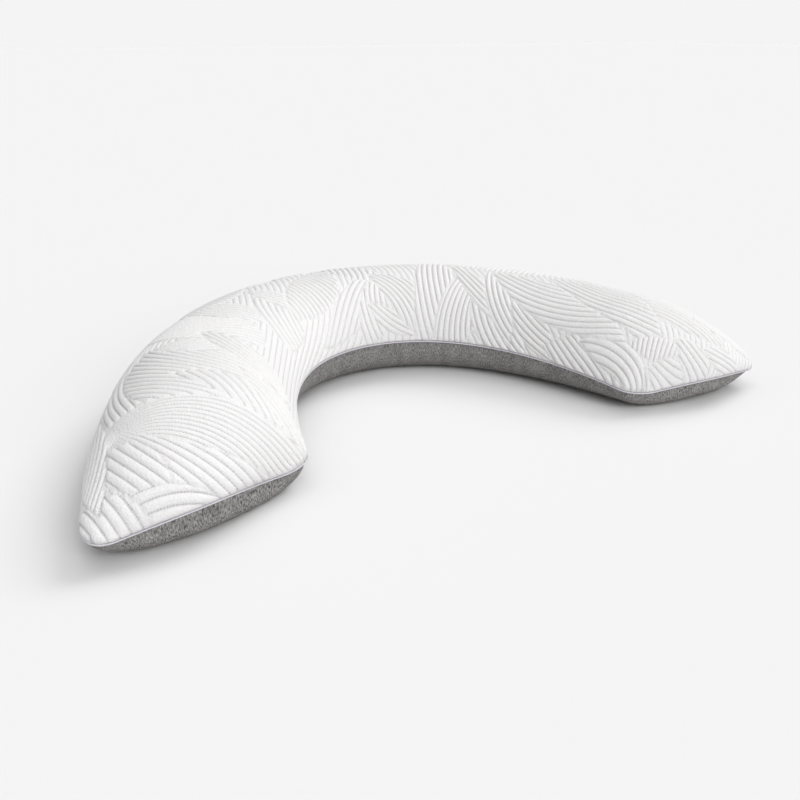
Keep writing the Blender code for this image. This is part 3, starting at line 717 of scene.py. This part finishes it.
def hull_points(along, across, by_end_seam):
    """The underside: drawn in under the seam, creased, then curved in to its flat."""
    under = surface(along, across, underside_height).reshape(-1, 3)
    normal = point_normals(under, grid_faces(along.shape, flip=True))
    aside = normal * (1, 1, 0)
    aside /= np.maximum(np.linalg.norm(aside, axis=1, keepdims=True), 1e-6)
    drop = 1 - under[:, 2] / seam_height(along, across).reshape(-1)
    start, stop = TUCK_REACH
    back_out = np.clip((drop - start) / (stop - start), 0, 1)
    drawn = rise(drop / start) * (1 - back_out)**2 * (1 + 2 * back_out)
    tuck = SIDE_TUCK + (END_TUCK - SIDE_TUCK) * by_end_seam
    under -= aside * (tuck * drawn)[:, None]
    below_seam = np.clip(drop / CREASE_START, 0, 1)
    under -= normal * (crease_depth(under - ORIGIN) * below_seam)[:, None]
    return np.maximum(under, (-np.inf, -np.inf, 0))


def knit_body(material):
    """The filling in its knit cover: crowned on top, curved in underneath to a flat."""
    along, share = np.meshgrid(along_stations(HULL_STATIONS), share_stations(), indexing="ij")
    across = across_of_cloth(along, share)
    lengths = np.interp(along, FINE, CLOTH_LENGTH).reshape(-1)
    sides = (share * cloth_half_width(along)).reshape(-1)
    to_end = CLOTH_LENGTH[-1] - np.abs(lengths)
    to_side = cloth_half_width(along).reshape(-1) - np.abs(sides)
    by_end_seam = np.clip(0.5 + (to_side - to_end) / CORNER_BLEND, 0, 1)
    top = surface(along, across, crown_height).reshape(-1, 3)
    under = hull_points(along, across, by_end_seam)
    border = border_index(along.shape)
    faces = grid_faces(along.shape) + grid_faces(along.shape, len(top), flip=True)
    faces += strip_faces(border + len(top), border)
    body = add_piece("grey_knit_body", np.concatenate((top, under)), faces, material,
                     "filled_knit_body")
    end_share = face_middles(np.tile(by_end_seam, 2), faces)
    corner_point, corner_share = corners_of(body.data, end_share)
    run = np.tile(np.stack((lengths, sides), -1), (2, 1))[corner_point]
    wales = np.where((corner_share > 0.5)[:, None], run[:, ::-1], run)
    add_coordinates(body.data, "knit", wales)
    return body


def seam_piping(material):
    """A round cord all the way round, between the panel and the body."""
    rings = []
    for side in range(PIPING_SIDES):
        turn = 2 * np.pi * side / PIPING_SIDES
        out = PIPING_OUT + CORD_RADIUS * np.cos(turn)
        rings.append(EDGE + OUTWARD * out + UP * CORD_RADIUS * np.sin(turn))
    count = len(EDGE)
    faces = []
    for side in range(PIPING_SIDES):
        lower = np.arange(count) + side * count
        upper = np.arange(count) + (side + 1) % PIPING_SIDES * count
        faces += strip_faces(lower, upper)
    return add_piece("lilac_piping", np.concatenate(rings), faces, material, "seam_piping")


# ---- Materials ----
class Graph:
    """A new material's nodes, built by name."""

    def __init__(self, name):
        self.material = bpy.data.materials.new(name)
        self.material.use_nodes = True
        self.tree = self.material.node_tree
        self.shader = self.tree.nodes["Principled BSDF"]

    def finish(self, roughness, specular):
        self.shader.inputs["Roughness"].default_value = roughness
        self.shader.inputs["Specular IOR Level"].default_value = specular

    def put(self, socket, value):
        if isinstance(value, bpy.types.NodeSocket):
            self.tree.links.new(value, socket)
        else:
            socket.default_value = value

    def node(self, kind, inputs, output=0, **settings):
        node = self.tree.nodes.new("ShaderNode" + kind)
        for name, value in settings.items():
            setattr(node, name, value)
        for name, value in inputs.items():
            self.put(node.inputs[name], value)
        return node.outputs[output]

    def math(self, operation, first, second=0.0):
        return self.node("Math", {0: first, 1: second}, operation=operation)

    def noise(self, where, scale, detail=2.0, roughness=0.5):
        return self.node("TexNoise", {"Vector": where, "Scale": scale, "Detail": detail,
                                      "Roughness": roughness})

    def ramp(self, value, low, high, to_low=0.0, to_high=1.0):
        return self.node("MapRange", {0: value, 1: low, 2: high, 3: to_low, 4: to_high})

    def mix(self, factor, first, second):
        """A colour between two colours."""
        node = self.tree.nodes.new("ShaderNodeMix")
        node.data_type = "RGBA"
        self.put(node.inputs["Factor"], factor)
        for name, value in (("A", first), ("B", second)):
            socket = [s for s in node.inputs if s.name == name and s.type == "RGBA"][0]
            self.put(socket, value if isinstance(value, bpy.types.NodeSocket) else (*value, 1.0))
        return [s for s in node.outputs if s.type == "RGBA"][0]

    def scaled(self, where, scale):
        return self.node("Mapping", {"Vector": where, "Scale": scale})

    def bump(self, height, distance, normal=None):
        inputs = {"Height": height, "Distance": distance, "Strength": 1.0}
        if normal is not None:
            inputs["Normal"] = normal
        return self.node("Bump", inputs)


def quilted_cloth():
    """White knitted ticking: dimpled knit, and a sunk row of stitches in each groove, with painted shade in the
    grooves and stitch holes.
    """
    graph = Graph("quilted_white_knit")
    channels = graph.node("UVMap", {}, uv_map="channels")
    cloth = graph.node("UVMap", {}, uv_map="cloth")
    split = graph.tree.nodes.new("ShaderNodeSeparateXYZ")
    graph.put(split.inputs[0], channels)
    off_groove = graph.math("PINGPONG", split.outputs["X"], 0.5)
    in_groove = graph.ramp(off_groove, *GROOVE_EDGES)
    along_stitch = graph.math("PINGPONG", graph.math("DIVIDE", split.outputs["Y"], STITCH_LENGTH), 0.5)
    hole = graph.math("MULTIPLY", graph.ramp(along_stitch, *HOLE_EDGES), in_groove)
    knit = graph.node("TexVoronoi", {"Vector": cloth, "Scale": DIMPLES}, feature="F1")
    soft = graph.noise(cloth, UNEVENNESS, 3.0)
    # painted shade: the white is greyed along each groove
    shade = graph.mix(graph.math("MULTIPLY", in_groove, PAINTED_GROOVE_SHARE), PANEL_WHITE, PAINTED_GROOVE_SHADE)
    # painted shade: the stitch holes are darkened further
    shade = graph.mix(graph.math("MULTIPLY", hole, PAINTED_HOLE_SHARE), shade, PAINTED_HOLE_SHADE)
    graph.put(graph.shader.inputs["Base Color"], shade)
    graph.finish(0.9, 0.25)
    normal = graph.bump(graph.math("MULTIPLY", hole, -1.0), HOLE_SINK)
    normal = graph.bump(knit, DIMPLE_SINK, normal)
    normal = graph.bump(soft, UNEVEN_RISE, normal)
    graph.put(graph.shader.inputs["Normal"], normal)
    return graph.material


def knit_cloth():
    """Heather grey jersey: pale and dark yarns mixed along the wales, with soft blotches."""
    graph = Graph("heather_grey_knit")
    knit = graph.node("UVMap", {}, uv_map="knit")
    streaks = graph.noise(graph.scaled(knit, STREAKS), 1.0, 2.0, 0.6)
    blotches = graph.noise(graph.scaled(knit, BLOTCHES), 1.0, 2.0, 0.5)
    fleck = graph.noise(graph.scaled(knit, FLECK), 1.0, 1.0, 0.5)
    yarns = zip((streaks, blotches, fleck), YARN_SHARES)
    parts = [graph.math("MULTIPLY", yarn, share) for yarn, share in yarns]
    mixed = graph.math("ADD", graph.math("ADD", parts[0], parts[1]), parts[2])
    shade = graph.mix(graph.ramp(mixed, *YARN_EDGES), KNIT_DARK, KNIT_PALE)
    graph.put(graph.shader.inputs["Base Color"], shade)
    graph.finish(0.95, 0.2)
    graph.put(graph.shader.inputs["Normal"], graph.bump(mixed, YARN_RISE))
    return graph.material


def piping_cloth():
    """Pale lilac satin-faced cord."""
    graph = Graph("lilac_piping_cloth")
    where = graph.node("TexCoord", {}, output=3)
    twist = graph.noise(where, CORD_TWIST, 2.0)
    shade = graph.mix(graph.ramp(twist, *CORD_EDGES), CORD_DARK, CORD_PALE)
    graph.put(graph.shader.inputs["Base Color"], shade)
    graph.finish(0.6, 0.5)
    graph.put(graph.shader.inputs["Normal"], graph.bump(twist, CORD_RISE))
    return graph.material


def floor_paint():
    graph = Graph("pale_floor")
    graph.shader.inputs["Base Color"].default_value = (FLOOR_WHITE, FLOOR_WHITE, FLOOR_WHITE, 1.0)
    graph.finish(1.0, 0.0)
    return graph.material


# ---- Stage ----
# Soft lights: azimuth and elevation in degrees, as the camera's are counted, strength, and angle across.
LIGHTS = (
    ("overhead", 60.0, 88.0, 0.70, 60.0),
    ("behind_right", 105.0, 45.0, 1.35, 32.0),
    ("front", -10.0, 45.0, 0.75, 32.0),
    ("low_right", 8.0, 25.0, 1.00, 32.0),
)
SKY = 0.42
HORIZON = 0.905                # the sky is brighter in a band over the horizon
HORIZON_RISE = (0.05, 0.15)    # sines of the elevations where the band starts to fade, and has faded
FLOOR_WHITE = 0.725
FLOOR_SIZE = 60.0


def towards(azimuth, elevation):
    """Unit direction from the middle of the stage, azimuth counted from -Y towards +X."""
    turn, lift = np.radians((azimuth, elevation))
    return Vector((np.sin(turn) * np.cos(lift), -np.cos(turn) * np.cos(lift), np.sin(lift)))


def add_camera():
    back = towards(CAMERA_AZIMUTH, CAMERA_ELEVATION)
    camera = bpy.data.objects.new("camera", bpy.data.cameras.new("camera"))
    camera.data.lens = CAMERA_LENS
    camera.data.sensor_width = 36.0
    camera.location = Vector(CAMERA_TARGET) + back * CAMERA_DISTANCE
    camera.rotation_euler = (-back).to_track_quat("-Z", "Y").to_euler()
    bpy.context.collection.objects.link(camera)
    bpy.context.scene.camera = camera


def add_lights():
    for name, azimuth, elevation, strength, angle in LIGHTS:
        light = bpy.data.objects.new(name, bpy.data.lights.new(name, "SUN"))
        light.data.energy = strength
        light.data.angle = np.radians(angle)
        light.rotation_euler = towards(azimuth, elevation).to_track_quat("Z", "Y").to_euler()
        bpy.context.collection.objects.link(light)


def add_sky():
    world = bpy.data.worlds.new("studio")
    world.use_nodes = True
    tree = world.node_tree
    where = tree.nodes.new("ShaderNodeTexCoord")
    split = tree.nodes.new("ShaderNodeSeparateXYZ")
    fade = tree.nodes.new("ShaderNodeMapRange")
    for number, value in enumerate((*HORIZON_RISE, HORIZON, SKY), 1):
        fade.inputs[number].default_value = value
    tree.links.new(where.outputs["Generated"], split.inputs[0])
    tree.links.new(split.outputs["Z"], fade.inputs[0])
    background = tree.nodes["Background"]
    background.inputs["Color"].default_value = (1.0, 1.0, 1.0, 1.0)
    tree.links.new(fade.outputs[0], background.inputs["Strength"])
    bpy.context.scene.world = world
    bpy.context.scene.view_settings.view_transform = "Standard"


def add_floor():
    half = FLOOR_SIZE / 2
    mesh = bpy.data.meshes.new("floor")
    corners = [(-half, -half, 0), (half, -half, 0), (half, half, 0), (-half, half, 0)]
    mesh.from_pydata(corners, [], [(0, 1, 2, 3)])
    mesh.materials.append(floor_paint())
    floor = bpy.data.objects.new("floor", mesh)
    bpy.context.collection.objects.link(floor)


add_camera()
add_lights()
add_sky()
add_floor()
body = knit_body(knit_cloth())
panel = quilted_panel(quilted_cloth())
piping = seam_piping(piping_cloth())
